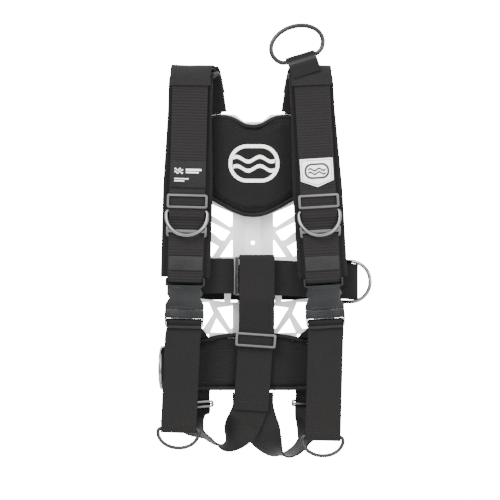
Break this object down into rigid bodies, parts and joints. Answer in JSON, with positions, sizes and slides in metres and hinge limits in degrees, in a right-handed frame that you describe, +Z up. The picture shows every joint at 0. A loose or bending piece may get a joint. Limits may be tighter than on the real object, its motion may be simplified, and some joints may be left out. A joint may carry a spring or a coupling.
{
  "type": "diving backplate and harness",
  "caption": "Diving backplate with padded shoulder straps, quick-release buckles, waist belt, crotch and leg straps, steel rings and sliders; no air cell fitted.",
  "frame": {"origin": "centre of the plate's rear ridge flat, midway between the two tank bolts", "axes": "+Z up towards the shoulders, +Y back towards the tank, +X to the right of someone facing the front"},
  "size_m": [0.3039, 0.0841, 0.6167],
  "materials": {
    "plate": "satin, lightly brushed, pale silver",
    "pad_fabric": "matt near-black woven nylon over foam",
    "webbing": "matt black flat webbing",
    "ribbed_webbing": "matt black webbing with fine cross ribs",
    "steel": "polished stainless steel",
    "dark_steel": "satin black coating on steel",
    "acetal": "smooth black moulded acetal",
    "rubber": "matt black rubber",
    "white_print": "flat white print",
    "label_fabric": "smooth black woven label"
  },
  "bodies": {
    "harness": {"backplate": "plate", "back_pad": "pad_fabric", "back_pad_emblem": "white_print", "lumbar_pad": "pad_fabric", "label_patch": "label_fabric", "badge_patch": "white_print", "shoulder_pad_left": "pad_fabric", "shoulder_webbing_left": "ribbed_webbing", "shoulder_cover_left": "pad_fabric", "chest_slider_left": "steel", "keeper_slider_left": "steel", "rubber_band_left": "rubber", "buckle_socket_left": "acetal", "buckle_plug_left": "acetal", "adjuster_webbing_left": "webbing", "waist_belt_left": "webbing", "leg_strap_left": "webbing", "leg_slider_left": "steel", "leg_screw_left": "steel", "shoulder_pad_right": "pad_fabric", "shoulder_webbing_right": "ribbed_webbing", "shoulder_cover_right": "pad_fabric", "chest_slider_right": "steel", "keeper_slider_right": "steel", "rubber_band_right": "rubber", "buckle_socket_right": "acetal", "buckle_plug_right": "acetal", "adjuster_webbing_right": "webbing", "waist_belt_right": "webbing", "leg_strap_right": "webbing", "leg_slider_right": "steel", "leg_screw_right": "steel", "waist_band_rear": "webbing", "belt_buckle_frame": "steel", "belt_buckle_pin": "steel", "hip_tab_left": "webbing", "crotch_strap": "webbing", "crotch_slider": "steel", "top_ring_tab": "webbing"},
    "chest_ring_left": {"chest_ring_left": "steel"},
    "chest_ring_right": {"chest_ring_right": "steel"},
    "pull_ring_left": {"pull_ring_left": "dark_steel"},
    "pull_ring_right": {"pull_ring_right": "dark_steel"},
    "top_ring": {"top_ring": "dark_steel"},
    "hip_ring_right": {"hip_ring_right": "steel"},
    "hip_ring_left": {"hip_ring_left": "steel"},
    "buckle_arm_left_l": {"buckle_arm_left_l": "acetal"},
    "buckle_arm_left_r": {"buckle_arm_left_r": "acetal"},
    "buckle_arm_right_l": {"buckle_arm_right_l": "acetal"},
    "buckle_arm_right_r": {"buckle_arm_right_r": "acetal"},
    "belt_buckle_lever": {"belt_buckle_lever": "steel"}
  },
  "joints": [
    {"name": "chest_ring_left_hinge", "type": "hinge", "parent": "harness", "child": "chest_ring_left", "pos_m": [-0.09273, -0.06885, 0.061], "axis": [-0.9997, 0, 0.0264], "range_deg": [0, 70]},
    {"name": "chest_ring_right_hinge", "type": "hinge", "parent": "harness", "child": "chest_ring_right", "pos_m": [0.0929, -0.06885, 0.061], "axis": [-0.9983, 0, -0.058], "range_deg": [0, 70]},
    {"name": "pull_ring_left_hinge", "type": "hinge", "parent": "harness", "child": "pull_ring_left", "pos_m": [-0.10494, -0.06558, -0.24603], "axis": [0.999, 0, -0.0447], "range_deg": [-60, 10]},
    {"name": "pull_ring_right_hinge", "type": "hinge", "parent": "harness", "child": "pull_ring_right", "pos_m": [0.09825, -0.06558, -0.25702], "axis": [0.9997, 0, -0.0261], "range_deg": [-60, 10]},
    {"name": "top_ring_hinge", "type": "hinge", "parent": "harness", "child": "top_ring", "pos_m": [0.0677, -0.051, 0.277], "axis": [0.9563, 0, 0.2924], "range_deg": [-80, 80]},
    {"name": "hip_ring_right_hinge", "type": "hinge", "parent": "harness", "child": "hip_ring_right", "pos_m": [0.122, -0.0428, -0.039], "axis": [0, 0, -1], "range_deg": [0, 25]},
    {"name": "hip_ring_left_hinge", "type": "hinge", "parent": "harness", "child": "hip_ring_left", "pos_m": [-0.1273, -0.03433, -0.161], "axis": [0, 0, -1], "range_deg": [0, 75]},
    {"name": "buckle_arm_left_l_hinge", "type": "hinge", "parent": "harness", "child": "buckle_arm_left_l", "pos_m": [-0.1116, -0.06905, -0.07593], "axis": [0, 1, 0], "range_deg": [0, 5], "stiffness_Nm_per_rad": 0.5},
    {"name": "buckle_arm_left_r_hinge", "type": "hinge", "parent": "harness", "child": "buckle_arm_left_r", "pos_m": [-0.08111, -0.06905, -0.07674], "axis": [0, -1, 0], "range_deg": [0, 5], "stiffness_Nm_per_rad": 0.5},
    {"name": "buckle_arm_right_l_hinge", "type": "hinge", "parent": "harness", "child": "buckle_arm_right_l", "pos_m": [0.08565, -0.06905, -0.07716], "axis": [0, 1, 0], "range_deg": [0, 5], "stiffness_Nm_per_rad": 0.5},
    {"name": "buckle_arm_right_r_hinge", "type": "hinge", "parent": "harness", "child": "buckle_arm_right_r", "pos_m": [0.1161, -0.06905, -0.07539], "axis": [0, -1, 0], "range_deg": [0, 5], "stiffness_Nm_per_rad": 0.5},
    {"name": "belt_buckle_lever_hinge", "type": "hinge", "parent": "harness", "child": "belt_buckle_lever", "pos_m": [0.015, -0.05335, -0.031], "axis": [0, 0, 1], "range_deg": [0, 12]}
  ]
}
